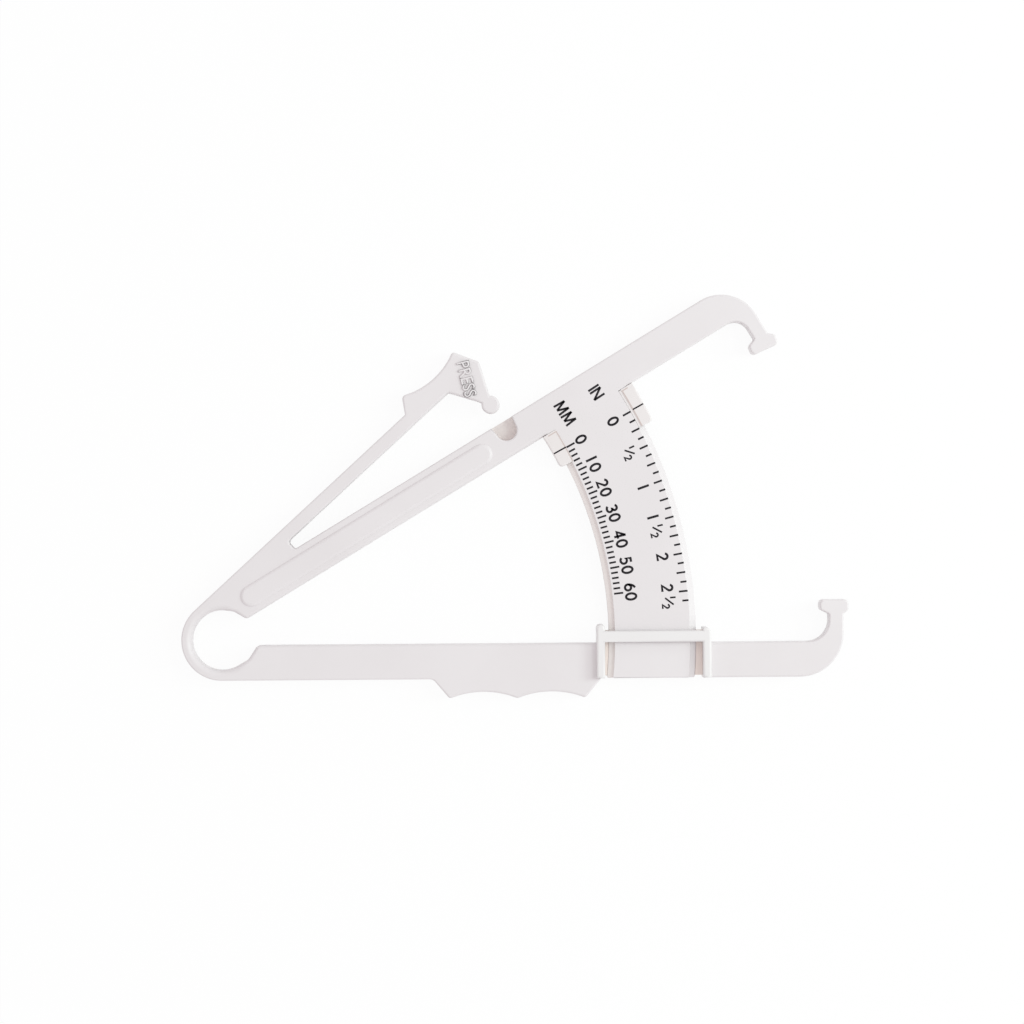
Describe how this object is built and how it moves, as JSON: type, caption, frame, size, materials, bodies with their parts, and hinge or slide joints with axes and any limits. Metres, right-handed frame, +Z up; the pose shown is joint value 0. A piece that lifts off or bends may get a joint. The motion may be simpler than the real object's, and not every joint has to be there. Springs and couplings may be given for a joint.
{
  "type": "skinfold caliper",
  "caption": "Plastic skinfold caliper: flat arms on a C-shaped spring loop, curved printed scale arc with a sliding pointer, press lever with a click ball, and jaws with flat feet.",
  "frame": {"origin": "Middle of the underside's bounding box, on the surface that the caliper lies on.", "axes": "+X along the lower arm from the spring loop to its jaw, +Y from the lower arm to the upper arm, +Z up, out of the printed side."},
  "size_m": [0.167, 0.1004, 0.0082],
  "materials": {
    "white_moulding": "satin white moulded plastic with black printed scales",
    "white_slider": "satin warm white moulded plastic"
  },
  "bodies": {
    "lower_arm": {"lower_arm": "white_moulding", "finger_grip": "white_moulding", "lower_jaw": "white_moulding", "lower_jaw_foot": "white_moulding", "guide_left_post": "white_moulding", "guide_right_post": "white_moulding", "guide_front_bar": "white_moulding", "guide_back_web": "white_moulding", "spring_loop": "white_moulding"},
    "upper_arm": {"upper_arm": "white_moulding", "label_panel": "white_moulding", "upper_jaw": "white_moulding", "upper_jaw_foot": "white_moulding", "scale_arc": "white_moulding"},
    "press_lever": {"lever_flexure": "white_moulding", "lever_leaf": "white_moulding", "thumb_pad": "white_moulding", "click_ball": "white_moulding"},
    "slider": {"slider": "white_slider"}
  },
  "joints": [
    {"name": "jaw_hinge", "type": "hinge", "parent": "lower_arm", "child": "upper_arm", "pos_m": [-0.0734, -0.0353, 0.003], "axis": [0, 0, 1], "range_deg": [-24.2, 2], "stiffness_Nm_per_rad": 0.25, "deforming": ["spring_loop"]},
    {"name": "lever_hinge", "type": "hinge", "parent": "upper_arm", "child": "press_lever", "pos_m": [-0.05583, -0.01169, 0.003], "axis": [0, 0, 1], "range_deg": [-7, 0], "stiffness_Nm_per_rad": 1.2, "deforming": ["lever_flexure"]},
    {"name": "slider_slide", "type": "hinge", "parent": "upper_arm", "child": "slider", "pos_m": [-0.0734, -0.0353, 0.003], "axis": [0, 0, -1], "range_deg": [0, 24.2]}
  ]
}
